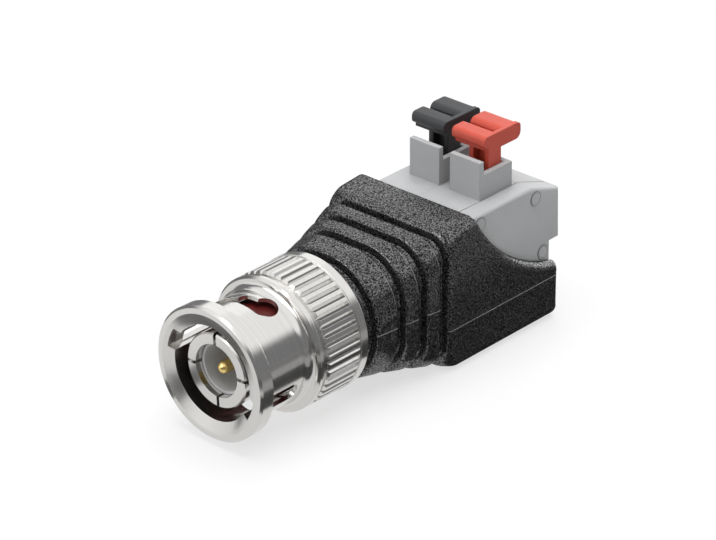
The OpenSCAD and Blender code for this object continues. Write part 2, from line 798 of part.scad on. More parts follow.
// One pole of the block, open towards the end cover, with pegs of a given length on that side
module pole_housing(peg_len) {
    difference() {
        union() {
            across(0, pole_pitch) pole_outline();
            across(box_x, box_w) box_outline();
            for (place = peg_places)
                translate([pole_pitch, place.x, place.y]) rotate([0, 90, 0])
                    cylinder(h = peg_len, r = peg_r);
        }
        for (place = peg_places)
            translate([-past, place.x, place.y]) rotate([0, 90, 0])
                cylinder(h = past + socket_depth, r = peg_r + fit_clear);
        block([pole_wall, chamber_y, chamber_floor], [pole_pitch + past, chamber_end, chamber_top]);
        block([stem_x - guide_clear, stem_y - guide_clear, chamber_top - past],
              [stem_end_x + guide_clear, stem_end_y + guide_clear, block_top + past]);
        block([stem_x - guide_clear, block_y + box_y + box_wall, block_top],
              [stem_end_x + guide_clear, box_end - box_wall, block_top + box_front_h + past]);
        block([bar_x - face_clear, block_y - past, tail_z - bar_t - face_clear],
              [bar_x + bar_w + face_clear, chamber_y + past, tail_z + face_clear]);
        translate([wire_x, chamber_end - past, wire_z]) rotate([-90, 0, 0])
            cylinder(h = upper_rear_y - chamber_end + 2 * past, r = wire_r);
        translate([wire_x, upper_rear_y - funnel, wire_z]) rotate([-90, 0, 0])
            cylinder(h = 2 * funnel, r1 = wire_r, r2 = wire_r + 2 * funnel);
    }
}

module pole_housing_negative() {
    color("darkgray") translate([negative_x, 0, 0]) pole_housing(socket_depth - face_clear);
}

module pole_housing_positive() {
    color("darkgray") translate([positive_x, 0, 0]) pole_housing(cover_t);
}

// Rounds the cover's upper outer edge along a straight length
module cover_edge_cut(length) {
    translate([cover_end_x - cover_round, 0, -cover_round]) difference() {
        cube([cover_round + past, length, cover_round + past]);
        translate([0, -past, 0]) rotate([-90, 0, 0]) cylinder(h = length + 2 * past, r = cover_round);
    }
}

module end_cover() {
    slope_y = upper_rear_y - slope_len;
    slope_fall = block_top - rear_edge_z;
    color("darkgray") difference() {
        across(cover_x, cover_t) pole_outline();
        for (place = peg_places)
            translate([cover_x - past, place.x, place.y]) rotate([0, 90, 0])
                cylinder(h = cover_t + 2 * past, r = peg_r + fit_clear);
        translate([0, block_y - past, block_top]) cover_edge_cut(slope_y - block_y + past);
        translate([0, slope_y, block_top]) rotate([-atan(slope_fall / slope_len), 0, 0])
            cover_edge_cut(norm([slope_len, slope_fall]) + past);
    }
}

// A bar of the cap with a round nose and heel
module rounded_bar(start, end, low, high, corner) {
    translate([start, low + corner]) square([end - start, high - low - 2 * corner]);
    translate([start + corner, low]) square([end - start - 2 * corner, high - low]);
    for (y = [start + corner, end - corner])
        for (z = [low + corner, high - corner])
            translate([y, z]) circle(corner);
}

// Side view of the cap: a thin nose and a thick heel with the thumb groove between them
module cap_outline() {
    rounded_bar(cap_y, thumb_y - thumb_half_w, cap_top - nose_t, cap_top, nose_round);
    rounded_bar(thumb_y + thumb_half_w, cap_end, cap_z, cap_top, cap_round);
    translate([stem_y, cap_z]) square([cap_end - cap_round - stem_y, cap_t - groove_depth]);
}

// Side view of the plate that closes the groove
module plate_outline() {
    cap_outline();
    rounded_bar(cap_y, cap_end, cap_top - nose_t, cap_top, nose_round);
    translate([stem_y, block_top]) square([stem_len, cap_z + cap_t / 2 - block_top]);
}

// One push button, drawn across its pole from the pole's closed side
module button() {
    difference() {
        union() {
            across(stem_end_x - plate_t, plate_t) plate_outline();
            across(stem_x - cap_side, stem_w + cap_side) cap_outline();
            across(stem_x, stem_w)
                translate([stem_y, stem_z]) square([stem_len, cap_z + cap_t / 2 - stem_z]);
            across(stem_end_x - leg_w, leg_w)
                translate([stem_y, leg_z]) square([stem_len, stem_z + recess_foot - leg_z]);
            across(stem_end_x - leg_w, leg_w)
                translate([stem_y, chamber_top - leg_w]) square([stem_len + lug_reach, leg_w - face_clear]);
        }
        block([stem_x + recess_wall, stem_y - past, stem_z + recess_foot],
              [stem_end_x - plate_t, stem_y + recess_depth, cap_z]);
    }
}

module button_negative() {
    color([0.2, 0.2, 0.21]) translate([negative_x, 0, 0]) button();
}

module button_positive() {
    color([0.88, 0.28, 0.2]) translate([positive_x, 0, 0]) button();
}

// Side view of the clamp spring: floor leg, loop and rising tongue
module spring_outline() {
    floor_len = chamber_end - foot_gap - loop_y;
    translate([loop_y - slice, loop_z - loop_r - spring_t / 2]) square([floor_len, spring_t]);
    difference() {
        translate([loop_y, loop_z]) circle(loop_r + spring_t / 2);
        translate([loop_y, loop_z]) circle(loop_r - spring_t / 2);
        translate([loop_y, loop_z]) rotate(-90) square([2 * loop_r, 2 * loop_r]);
        translate([loop_y, loop_z]) rotate(tongue_angle) square([2 * loop_r, 2 * loop_r]);
        translate([loop_y, loop_z]) square([2 * loop_r, 2 * loop_r]);
    }
    translate([tongue_y, tongue_z]) rotate(tongue_angle)
        translate([-slice, -spring_t / 2]) square([tongue_len, spring_t]);
}

module clamp_spring_negative() {
    color("lightsteelblue") translate([negative_x, 0, 0]) across(spring_x, spring_w) spring_outline();
}

module clamp_spring_positive() {
    color("lightsteelblue") translate([positive_x, 0, 0]) across(spring_x, spring_w) spring_outline();
}

// Side view of a contact bar: clamping shelf, upright and solder tail
module bar_outline() {
    translate([bar_y, bar_z]) square([chamber_end - face_clear - bar_y, bar_t]);
    translate([bar_y, tail_z - bar_t]) square([bar_t, bar_z + bar_t - tail_z + bar_t]);
    translate([block_y - solder_tail, tail_z - bar_t])
        square([bar_y + bar_t - block_y + solder_tail, bar_t]);
}

module contact_bar_negative() {
    color("peru") translate([negative_x, 0, 0]) across(bar_x, bar_w) bar_outline();
}

module contact_bar_positive() {
    color("peru") translate([positive_x, 0, 0]) across(bar_x, bar_w) bar_outline();
}

coupling_nut();
retaining_ring();
thrust_washer();
wave_washer_front();
wave_washer_rear();
plug_body();
sealing_gasket();
insulator();
centre_pin();
signal_lead();
ground_lead();
boot();
pole_housing_negative();
pole_housing_positive();
end_cover();
button_negative();
button_positive();
clamp_spring_negative();
clamp_spring_positive();
contact_bar_negative();
contact_bar_positive();
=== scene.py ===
import math

import bpy
import numpy as np
from mathutils import Matrix


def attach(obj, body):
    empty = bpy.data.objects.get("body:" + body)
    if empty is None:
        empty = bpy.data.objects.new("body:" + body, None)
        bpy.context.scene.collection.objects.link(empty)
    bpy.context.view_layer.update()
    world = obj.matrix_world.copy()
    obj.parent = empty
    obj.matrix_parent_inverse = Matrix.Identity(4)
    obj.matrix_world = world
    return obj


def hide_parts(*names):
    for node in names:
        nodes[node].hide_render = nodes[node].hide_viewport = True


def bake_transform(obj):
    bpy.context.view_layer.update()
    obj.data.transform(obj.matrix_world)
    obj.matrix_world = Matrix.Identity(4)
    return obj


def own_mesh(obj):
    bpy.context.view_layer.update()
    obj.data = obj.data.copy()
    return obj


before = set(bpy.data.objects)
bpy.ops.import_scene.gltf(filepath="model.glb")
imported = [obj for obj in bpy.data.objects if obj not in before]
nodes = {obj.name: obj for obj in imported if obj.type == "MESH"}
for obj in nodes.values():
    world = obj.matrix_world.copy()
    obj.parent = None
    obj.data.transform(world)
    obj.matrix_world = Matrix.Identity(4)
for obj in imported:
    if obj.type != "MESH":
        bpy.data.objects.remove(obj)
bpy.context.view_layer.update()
scene = bpy.context.scene
mm = 0.001
tiny = 1e-6  # in mm, keeps a square root off zero
print("frame loaded,", len(nodes), "nodes")


def axesMatrix(x, y, z, place):
    # a pose whose own axes are x, y and z, at a place in metres
    pose = np.eye(4)
    pose[:3] = np.stack([x, y, z, place], axis=1)
    return Matrix(pose.tolist())


# camera at the photograph's place: angles in degrees, lengths in mm, clip in metres
cameraFit = dict(azimuth=42.58, elevation=27.56, roll=-0.44, distance=350.0, pixelsPerMm=9.86,
                 target=(0.0, 20.0, 3.0), slide=(-1.18, -0.72), frameWidth=716, sensor=36.0,
                 clip=(0.01, 20.0))


def makeCamera(fit):
    # back points from the target to the camera, right is level, and a roll turns right and up
    a, e, roll = np.radians([fit["azimuth"], fit["elevation"], fit["roll"]])
    back = np.array([math.sin(a) * math.cos(e), -math.cos(a) * math.cos(e), math.sin(e)])
    level = np.array([math.cos(a), math.sin(a), 0.0])
    upright = np.cross(back, level)
    right = math.cos(roll) * level + math.sin(roll) * upright
    up = math.cos(roll) * upright - math.sin(roll) * level
    aside, over = fit["slide"]
    place = np.array(fit["target"]) + fit["distance"] * back - aside * right - over * up
    lens = bpy.data.cameras.new("productCamera")
    lens.sensor_width = fit["sensor"]
    lens.lens = fit["pixelsPerMm"] * fit["distance"] / fit["frameWidth"] * fit["sensor"]
    lens.clip_start, lens.clip_end = fit["clip"]
    camera = bpy.data.objects.new("productCamera", lens)
    camera.matrix_world = axesMatrix(right, up, back, place * mm)
    scene.collection.objects.link(camera)
    scene.camera = camera


makeCamera(cameraFit)
scene.view_settings.view_transform = "Standard"
print("camera set")


# helpers for shader nodes: a value is a plain number or colour, or the output of another node
def addNode(tree, kind, x=0, y=0, sockets=None, **settings):
    # a node with its settings first, because they decide which sockets it has
    node = tree.nodes.new(kind)
    node.location = (x, y)
    for key, value in settings.items():
        setattr(node, key, value)
    for key, value in (sockets or {}).items():
        if isinstance(value, bpy.types.NodeSocket):
            tree.links.new(value, node.inputs[key])
        else:
            node.inputs[key].default_value = value
    return node


def calc(tree, operation, values, x, y):
    # one step of arithmetic
    node = addNode(tree, "ShaderNodeMath", x, y, dict(enumerate(values)), operation=operation)
    return node.outputs[0]


def blendValues(tree, share, a, b, x, y):
    # a number that is a at share 0 and b at share 1
    node = addNode(tree, "ShaderNodeMix", x, y, {"Factor": share, "A": a, "B": b},
                   data_type="FLOAT")
    return node.outputs["Result"]


def tint(tree, mask, dark, light, x, y):
    # colour that runs from dark to light with a mask
    node = addNode(tree, "ShaderNodeMix", x, y,
                   {"Factor": mask, "A": (*dark, 1), "B": (*light, 1)}, data_type="RGBA")
    return node.outputs["Result"]


def spread(tree, mask, span, x, y):
    # a number that runs over the span with a mask
    node = addNode(tree, "ShaderNodeMapRange", x, y,
                   {"Value": mask, "To Min": span[0], "To Max": span[1]})
    return node.outputs["Result"]


def ramp(tree, value, span, x, y):
    # a smooth step from 0 to 1 while the value crosses the span
    node = addNode(tree, "ShaderNodeMapRange", x, y,
                   {"Value": value, "From Min": span[0], "From Max": span[1]},
                   interpolation_type="SMOOTHSTEP")
    return node.outputs["Result"]


# stage: white sky over a dim horizon, pale floor, soft lamps, glowing cards that only shiny surfaces
# see, as painted reflections
stageLook = dict(floorZ=-7.92, floorSize=3000.0, floorColour=(0.66, 0.66, 0.66), floorGlow=0.66,
                 zenith=(1.0, 1.0, 1.0), horizon=(0.26, 0.26, 0.27), skyRise=(0.12, 0.62),
                 skyFill=0.50, mirrorHorizon=(0.20, 0.20, 0.205), mirrorRise=(0.38, 0.58),
                 lampAim=(0.0, 0.02, 0.0), cardLift=0.02)

# lamps: place in metres, size, power in watts, and whether shiny surfaces mirror the lamp itself
lamps = dict(topSoftbox=((0.05, 0.02, 0.60), 0.60, 4.8, False),
             rearSoftbox=((-0.36, 0.42, 0.30), 0.60, 1.15, False),
             frontFill=((-0.16, -0.52, 0.26), 0.40, 1.35, True))

# cards on the floor, seen only in reflections: a painted reflection of the floor, darker where it
# stands for the floor's shade; x range and y range in mm and level of light, the later ones on top
floorCards = dict(far=((-900, 900), (-900, 900), 0.20),
                  near=((-40, 40), (-40, 90), 0.74),
                  frontLeft=((-400, -14), (-400, -2), 0.80),
                  front=((-14, 60), (-90, -18), 0.10),
                  left=((-12.5, -9.3), (-9, 3), 0.12),
                  rightFar=((22, 46), (-20, 110), 0.34),
                  right=((10.5, 22), (-12, 75), 0.06),
                  besideBoot=((7.5, 22), (21, 80), 0.05))

# standing cards, seen only in reflections as painted reflections: ends of the foot in mm, lower and
# upper edge over the floor, level of light
standingCards = dict(frontLeft=((-140, -75), (-40, -150), (0, 60), 0.95),
                     rear=((-190, 300), (190, 300), (0, 190), 2.4),
                     high=((-559, 165), (-117, 571), (150, 530), 1.14))


def makeSky(look):
    # soft light for matt surfaces, a sharper horizon for shiny ones and plain white for the camera
    world = bpy.data.worlds.new("studioSky")
    scene.world = world
    world.use_nodes = True
    tree = world.node_tree
    tree.nodes.clear()
    coords = addNode(tree, "ShaderNodeTexCoord", -700)
    split = addNode(tree, "ShaderNodeSeparateXYZ", -500, 0, {0: coords.outputs["Generated"]})
    soft = ramp(tree, split.outputs["Z"], look["skyRise"], -300, 0)
    crisp = ramp(tree, split.outputs["Z"], look["mirrorRise"], -300, -300)
    dome = tint(tree, soft, look["horizon"], look["zenith"], -100, 0)
    mirror = tint(tree, crisp, look["mirrorHorizon"], look["zenith"], -100, -300)
    fill = addNode(tree, "ShaderNodeBackground", 200, 100,
                   {"Color": dome, "Strength": look["skyFill"]})
    mirrored = addNode(tree, "ShaderNodeBackground", 200, -50, {"Color": mirror})
    white = addNode(tree, "ShaderNodeBackground", 200, -200, {"Color": (1, 1, 1, 1)})
    path = addNode(tree, "ShaderNodeLightPath", 0, 350)
    shine = addNode(tree, "ShaderNodeMixShader", 450, 0,
                    {"Fac": path.outputs["Is Glossy Ray"], 1: fill.outputs[0],
                     2: mirrored.outputs[0]})
    seen = addNode(tree, "ShaderNodeMixShader", 680, 0,
                   {"Fac": path.outputs["Is Camera Ray"], 1: shine.outputs[0], 2: white.outputs[0]})
    addNode(tree, "ShaderNodeOutputWorld", 900, 0, {"Surface": seen.outputs[0]})


def flatPiece(name, corners, materialName):
    # one face with four corners in mm, and an empty material for it
    mesh = bpy.data.meshes.new(name)
    mesh.from_pydata((np.array(corners, float) * mm).tolist(), [], [(0, 1, 2, 3)])
    piece = bpy.data.objects.new(name, mesh)
    scene.collection.objects.link(piece)
    material = bpy.data.materials.new(materialName)
    material.use_nodes = True
    material.node_tree.nodes.clear()
    mesh.materials.append(material)
    return piece, material.node_tree


def levelCorners(xRange, yRange, z):
    # a rectangle at one height
    (x0, x1), (y0, y1) = xRange, yRange
    return [(x0, y0, z), (x1, y0, z), (x1, y1, z), (x0, y1, z)]


def makeFloor(look):
    # a square under the boot, part lit and part plain white to the camera, so only the shadow shows
    span = (-look["floorSize"] / 2, look["floorSize"] / 2)
    floor, tree = flatPiece("floor", levelCorners(span, span, look["floorZ"]), "paleFloor")
    matte = addNode(tree, "ShaderNodeBsdfDiffuse", 0, 100, {"Color": (*look["floorColour"], 1)})
    glow = addNode(tree, "ShaderNodeEmission", 0, -100)
    path = addNode(tree, "ShaderNodeLightPath", -300, 350)
    share = calc(tree, "MULTIPLY", (path.outputs["Is Camera Ray"], look["floorGlow"]), 100, 300)
    both = addNode(tree, "ShaderNodeMixShader", 400, 0,
                   {"Fac": share, 1: matte.outputs[0], 2: glow.outputs[0]})
    addNode(tree, "ShaderNodeOutputMaterial", 700, 0, {"Surface": both.outputs[0]})


def makeCard(name, corners, level):
    # a flat card that glows with a plain level of light though it is no lamp, and only shiny
    # surfaces see it: a painted reflection
    card, tree = flatPiece(name, corners, name)
    glow = addNode(tree, "ShaderNodeEmission", 0, 0, {"Color": (level, level, level, 1)})
    addNode(tree, "ShaderNodeOutputMaterial", 300, 0, {"Surface": glow.outputs[0]})
    card.visible_camera = card.visible_diffuse = False
    card.visible_shadow = card.visible_transmission = False


def makeLamp(name, place, size, power, mirrored, aim):
    # a square lamp whose z axis points away from what it is aimed at
    lamp = bpy.data.lights.new(name, "AREA")
    lamp.shape, lamp.size, lamp.energy = "SQUARE", size, power
    holder = bpy.data.objects.new(name, lamp)
    away = np.array(place) - np.array(aim)
    away /= np.linalg.norm(away)
    level = np.cross((0.0, 1.0, 0.0), away)
    level /= np.linalg.norm(level)
    holder.matrix_world = axesMatrix(level, np.cross(away, level), away, place)
    holder.visible_glossy = mirrored
    scene.collection.objects.link(holder)


makeSky(stageLook)
makeFloor(stageLook)
for name, values in lamps.items():
    makeLamp(name, *values, stageLook["lampAim"])
for order, (name, (xRange, yRange, level)) in enumerate(floorCards.items(), 1):
    height = stageLook["floorZ"] + order * stageLook["cardLift"]
    makeCard(name + "Card", levelCorners(xRange, yRange, height), level)
for name, ((xa, ya), (xb, yb), span, level) in standingCards.items():
    low, high = stageLook["floorZ"] + np.array(span)
    corners = [(xa, ya, low), (xb, yb, low), (xb, yb, high), (xa, ya, high)]
    makeCard(name + "Stand", corners, level)
print("stage set")

# shared shader groups, sizes in metres; each noise has its detail and roughness
grainShape = dict(cell=0.00025, broad=(2.0, 0.55), fine=(1.0, 0.5), finerBy=2.7, fineShare=0.35,
                  slope=(0.42, 0.62))
turnedShape = dict(pitch=0.00012, drift=(1.0, 0.5), driftSize=0.004, driftReach=0.00004,
                   lines=(3.0, 0.7), bands=(1.0, 0.5), bandsPerLine=0.22, bandShare=0.4)
cloudShape = dict(size=0.004, cloud=(3.0, 0.55))


def newGroup(name, inputs, outputs):
    # a group whose sockets are numbers: the inputs with their usual values, and the outputs;
    # place is the point in the piece's own frame
    group = bpy.data.node_groups.new(name, "ShaderNodeTree")
    for key, value in inputs.items():
        socket = group.interface.new_socket(key, in_out="INPUT", socket_type="NodeSocketFloat")
        socket.default_value = value
    for key in outputs:
        group.interface.new_socket(key, in_out="OUTPUT", socket_type="NodeSocketFloat")
    place = addNode(group, "ShaderNodeTexCoord", -800, -250).outputs["Object"]
    return group, addNode(group, "NodeGroupInput", -800), place


def makeNoise(tree, place, scale, kind, x, y, dimensions="3D"):
    # noise over a place, which in one dimension is a single number
    detail, rough = kind
    placeSocket = "W" if dimensions == "1D" else "Vector"
    node = addNode(tree, "ShaderNodeTexNoise", x, y,
                   {placeSocket: place, "Scale": scale, "Detail": detail, "Roughness": rough},
                   noise_dimensions=dimensions)
    return node.outputs[0]


def sparkGrainGroup(s):
    # spark-eroded mould grain: two noises mixed, one of small cells and one a third of their size;
    # the pits are a smooth step of that height, 0 deep down and 1 on top
    group, given, place = newGroup("sparkGrain", dict(Cell=s["cell"]), ("Height", "Pits"))
    scale = calc(group, "DIVIDE", (1.0, given.outputs["Cell"]), -600, 100)
    finer = calc(group, "MULTIPLY", (scale, s["finerBy"]), -400, -150)
    broad = makeNoise(group, place, scale, s["broad"], -200, 150)
    fine = makeNoise(group, place, finer, s["fine"], -200, -150)
    height = blendValues(group, s["fineShare"], broad, fine, 100, 0)
    pits = ramp(group, height, s["slope"], 400, -100)
    addNode(group, "NodeGroupOutput", 900, 0, {"Height": height, "Pits": pits})
    return group


def turnedLinesGroup(s):
    # tool marks of a lathe: noise along the axis alone, broken up a little by a slow noise round it
    group, given, place = newGroup("turnedLines", dict(Pitch=s["pitch"]), ("Height", "Streak"))
    split = addNode(group, "ShaderNodeSeparateXYZ", -600, -250, {0: place})
    drift = makeNoise(group, place, 1.0 / s["driftSize"], s["drift"], -600, -450)
    along = calc(group, "MULTIPLY_ADD", (drift, s["driftReach"], split.outputs["Y"]), -400, -350)
    count = calc(group, "DIVIDE", (along, given.outputs["Pitch"]), -400, 100)
    lines = makeNoise(group, count, 1.0, s["lines"], -150, 100, "1D")
    slower = calc(group, "MULTIPLY", (count, s["bandsPerLine"]), -150, -150)
    bands = makeNoise(group, slower, 1.0, s["bands"], 50, -150, "1D")
    streak = blendValues(group, s["bandShare"], lines, bands, 350, 0)
    addNode(group, "NodeGroupOutput", 900, 0, {"Height": lines, "Streak": streak})
    return group


def cloudGroup(s):
    # slow cloudy shade from handling and from flow in the mould
    group, given, place = newGroup("cloudyShade", dict(Size=s["size"]), ("Cloud",))
    scale = calc(group, "DIVIDE", (1.0, given.outputs["Size"]), -600, 100)
    cloud = makeNoise(group, place, scale, s["cloud"], -200, 150)
    addNode(group, "NodeGroupOutput", 900, 0, {"Cloud": cloud})
    return group


groups = dict(grain=sparkGrainGroup(grainShape), turned=turnedLinesGroup(turnedShape),
              cloud=cloudGroup(cloudShape))
print("shader groups made")


def placeGroup(tree, key, x, y, **values):
    # a shared group with this material's own values
    return addNode(tree, "ShaderNodeGroup", x, y, values, node_tree=groups[key])


def startMaterial(name, metallic=0.0, specular=0.5):
    # a principled surface with the plain values set on its own sockets
    material = bpy.data.materials.new(name)
    material.use_nodes = True
    tree = material.node_tree
    shader = tree.nodes["Principled BSDF"]
    shader.inputs["Metallic"].default_value = metallic
    shader.inputs["Specular IOR Level"].default_value = specular
    return material, tree, shader


def roundedBump(tree, shader, height, look, samples=6):
    # surface relief on edges that are rounded for light by a small radius
    bevel = addNode(tree, "ShaderNodeBevel", -550, -550, {"Radius": look["edge"]}, samples=samples)
    bump = addNode(tree, "ShaderNodeBump", -300, -400,
                   {"Distance": look["depth"], "Strength": 1.0, "Height": height,
                    "Normal": bevel.outputs[0]})
    tree.links.new(bump.outputs[0], shader.inputs["Normal"])


def metalMaterial(name, look, streakShare=0.5):
    # plated metal: lathe lines in the colour and the relief, lines and clouds in the roughness
    material, tree, shader = startMaterial(name, metallic=1.0)
    lines = placeGroup(tree, "turned", -900, 200, Pitch=look["pitch"])
    clouds = placeGroup(tree, "cloud", -900, -100, Size=look["cloud"])
    colour = tint(tree, lines.outputs["Streak"], look["dark"], look["light"], -500, 300)
    polish = blendValues(tree, streakShare, clouds.outputs["Cloud"], lines.outputs["Streak"],
                         -650, -50)
    tree.links.new(colour, shader.inputs["Base Color"])
    tree.links.new(spread(tree, polish, look["rough"], -400, 0), shader.inputs["Roughness"])
    roundedBump(tree, shader, lines.outputs["Height"], look)
    return material


def mouldedMaterial(name, look):
    # moulded plastic: cloudy colour with the grain's painted shade in its pits and, on the boot,
    # painted sparkle on its tops, and a colour of its own on marked seams and marks of painted light
    # and shade
    material, tree, shader = startMaterial(name, specular=look.get("specular", 0.5))
    grain = placeGroup(tree, "grain", -1000, 200, Cell=look["cell"])
    clouds = placeGroup(tree, "cloud", -1000, -100, Size=look["cloud"])
    base = tint(tree, clouds.outputs["Cloud"], look["dark"], look["light"], -700, 400)
    # painted shade deep down in the grain, and painted sparkle on top of it where that value is
    # above 1
    deep, proud = look.get("paintedGrainLight", (0.45, 1.0))  # shade deep down in the grain and on top of it
    shade = tint(tree, grain.outputs["Pits"], (deep,) * 3, (proud,) * 3, -700, 200)
    shaded = addNode(tree, "ShaderNodeMix", -450, 350, data_type="RGBA", blend_type="MULTIPLY",
                     sockets={"Factor": look.get("pitShade", 0.0), "A": base, "B": shade})
    colour = shaded.outputs["Result"]
    # the seam colour goes on seams, and also on the marks of painted highlight on the boot's rib
    # edges and painted shade round the peg rings
    if "seam" in look:
        mark = addNode(tree, "ShaderNodeAttribute", -450, 600, attribute_name="seam")
        lined = addNode(tree, "ShaderNodeMix", -200, 400, data_type="RGBA",
                        sockets={"Factor": mark.outputs["Fac"], "A": colour,
                                 "B": (*look["seam"], 1)})
        colour = lined.outputs["Result"]
    rough = spread(tree, grain.outputs["Height"], look["rough"], -450, 50)
    tree.links.new(colour, shader.inputs["Base Color"])
    tree.links.new(rough, shader.inputs["Roughness"])
    if "coat" in look:
        sheen = spread(tree, grain.outputs["Pits"], look["coat"], -450, -150)
        tree.links.new(sheen, shader.inputs["Coat Weight"])
        shader.inputs["Coat Roughness"].default_value = look["coatRough"]
        shader.inputs["Coat IOR"].default_value = look["coatIndex"]
    roundedBump(tree, shader, grain.outputs["Height"], look)
    return material


# finishes: colours from dark to light, spans of roughness, and sizes of the detail in metres
nickelLook = dict(dark=(0.66, 0.645, 0.625), light=(0.86, 0.85, 0.83), rough=(0.08, 0.22),
                  pitch=0.00011, cloud=0.003, depth=0.000002, edge=0.00005)
steelLook = dict(dark=(0.42, 0.41, 0.40), light=(0.62, 0.61, 0.60), rough=(0.2, 0.4),
                 pitch=0.0002, cloud=0.003, depth=0.000002, edge=0.00005)
goldLook = dict(dark=(0.90, 0.62, 0.18), light=(1.0, 0.80, 0.36), rough=(0.14, 0.30),
                pitch=0.00009, cloud=0.002, depth=0.000001, edge=0.00006)
brassLook = dict(dark=(0.55, 0.50, 0.42), light=(0.75, 0.71, 0.62), rough=(0.25, 0.45),
                 pitch=0.0003, cloud=0.002, depth=0.000002, edge=0.00005)
gasketLook = dict(dark=(0.055, 0.006, 0.005), light=(0.10, 0.009, 0.007), rough=(0.40, 0.60),
                  cell=0.00012, cloud=0.002, depth=0.000006, edge=0.0002)
insulatorLook = dict(dark=(0.42, 0.42, 0.425), light=(0.50, 0.50, 0.505), rough=(0.42, 0.55),
                     cell=0.00015, cloud=0.002, depth=0.000004, edge=0.00008)
# the boot's grain gets painted sparkle on top and painted shade in its pits
# the boot's seam colour also paints the highlight on the ribs' rear edges
bootLook = dict(dark=(0.012, 0.012, 0.0125), light=(0.018, 0.018, 0.0185), rough=(0.40, 0.60),
                cell=0.00017, cloud=0.006, depth=0.00026, edge=0.00010, pitShade=1.0,
                paintedGrainLight=(0.05, 3.4), seam=(0.36, 0.36, 0.37), specular=0.05, coat=(0.05, 1.0),
                coatRough=0.24, coatIndex=2.6)
# the block's seam colour is painted shade, put only on the outer halves of the peg rings
blockLook = dict(dark=(0.33, 0.335, 0.34), light=(0.385, 0.39, 0.395), rough=(0.42, 0.58),
                 cell=0.00016, cloud=0.005, depth=0.000006, edge=0.00016, pitShade=0.10,
                 seam=(0.085, 0.085, 0.09))
blackLook = dict(dark=(0.020, 0.021, 0.023), light=(0.030, 0.031, 0.033), rough=(0.38, 0.55),
                 cell=0.00018, cloud=0.003, depth=0.000008, edge=0.00022, pitShade=0.2)
redLook = dict(dark=(0.43, 0.048, 0.026), light=(0.52, 0.066, 0.036), rough=(0.36, 0.52),
               cell=0.00018, cloud=0.003, depth=0.000008, edge=0.00022, pitShade=0.12)

finishes = dict(
    bright_nickel=metalMaterial("brightNickel", nickelLook),
    spring_steel=metalMaterial("springSteel", steelLook),
    gold_plate=metalMaterial("goldPlate", goldLook),
    tinned_brass=metalMaterial("tinnedBrass", brassLook),
    gasket_rubber=mouldedMaterial("gasketRubber", gasketLook),
    insulator_plastic=mouldedMaterial("insulatorPlastic", insulatorLook),
    boot_plastic=mouldedMaterial("bootPlastic", bootLook),
    block_plastic=mouldedMaterial("blockPlastic", blockLook),
    black_button=mouldedMaterial("blackButton", blackLook),
    red_button=mouldedMaterial("redButton", redLook),
)
for node in nodes.values():
    for place in node.material_slots:
        place.material = finishes[place.material.name.split(".")[0]]
print("finishes given to", len(nodes), "nodes")


def gridPiece(name, grid, finish, sharp=40, closed=False, mark=None):
    # x, y and z over a grid in mm: rows are loops along a path and columns run round each loop;
    # a path that doesn't close on itself gets one face at each end
    verts = np.stack(np.broadcast_arrays(*grid), axis=2)
    index = np.arange(verts[:, :, 0].size).reshape(verts.shape[:2])
    ahead, beside = np.roll(index, -1, axis=0), np.roll(index, -1, axis=1)
    quads = np.stack([index, ahead, np.roll(ahead, -1, axis=1), beside], axis=2)
    if closed:
        faces = quads.reshape(-1, 4).tolist()
    else:
        ends = [index[0].tolist(), index[-1][::-1].tolist()]
        faces = quads[:-1].reshape(-1, 4).tolist() + ends
    mesh = bpy.data.meshes.new(name)
    mesh.from_pydata((verts.reshape(-1, 3) * mm).tolist(), [], faces)
    mesh.polygons.foreach_set("use_smooth", np.ones(len(faces), bool))
    if mark is not None:
        levels = np.broadcast_to(mark, index.shape).reshape(-1).astype(np.float32)
        mesh.attributes.new("seam", "FLOAT", "POINT").data.foreach_set("value", levels)
    mesh.update()
    mesh.set_sharp_from_angle(angle=math.radians(sharp))
    mesh.materials.append(finishes[finish])
    piece = bpy.data.objects.new(name, mesh)
    scene.collection.objects.link(piece)
    return piece


# boot: one closed skin from its bore round the ribs to the walls beside the block, sizes in mm
bootShape = dict(
    # places along the axis
    front=16.0, ribsStart=16.7, firstRib=2.7, pitch=2.85, gap=1.15, body=26.25, roofEnd=30.6,
    wallStart=30.62, end=43.6, boreStep=16.95, boreEnd=30.5,
    # the section at the front, where the body starts, and at the walls
    halfWidth=(7.3, 8.5), top=(7.05, 7.85, 8.4), bottom=(6.8, 7.6, 7.9), corner=(6.78, 2.9, 1.5),
    cornerPower=1.5, shoulder=(0.4, 0.6), bore=(4.33, 5.13), depth=1.05, faceDepth=0.6,
    # the walls and their hollow edge
    wallRight=7.7, wallLeft=5.55, floor=-6.9, arcRadius=19.6, sideRear=-1.4, edge=1.0,
    rimWidth=0.05, innerShare=0.3,
    # roundings, and the angle in degrees from which an edge is sharp
    frontRound=0.15, ribRound=0.34, grooveRound=0.2, bodyRound=0.5, endRound=0.4, sharp=38,
    # the parting line's ridge, and a painted highlight along the ribs' rear edges at the upper
    # corners
    seamRibs=0.12, seamBody=-2.9, seamHeight=0.04, seamWidth=0.07, seamBell=0.45, seamRoom=1.02,
    seamInset=0.3, overSeam=0.3, glintBack=0.1, glintWidth=0.08, glintLevel=0.5)

# points in each stretch round half a loop, and rows of loops along the boot
bootCounts = dict(under=10, low=12, side=9, seam=7, upper=9, high=12, rim=5, drop=8, floor=10,
                  roundRows=6, roofRows=14, wallRows=40, endRows=7)
sideStart = bootCounts["under"] + bootCounts["low"]
sideEnd = sideStart + bootCounts["side"] + bootCounts["seam"] + bootCounts["upper"]


def asColumn(values):
    # one value for each row of the grid
    return np.asarray(values, float).reshape(-1, 1)


def evenly(key, start=0, stop=1):
    # even steps from start to just before stop, as many as the stretch has points
    return np.linspace(start, stop, bootCounts[key], endpoint=False)


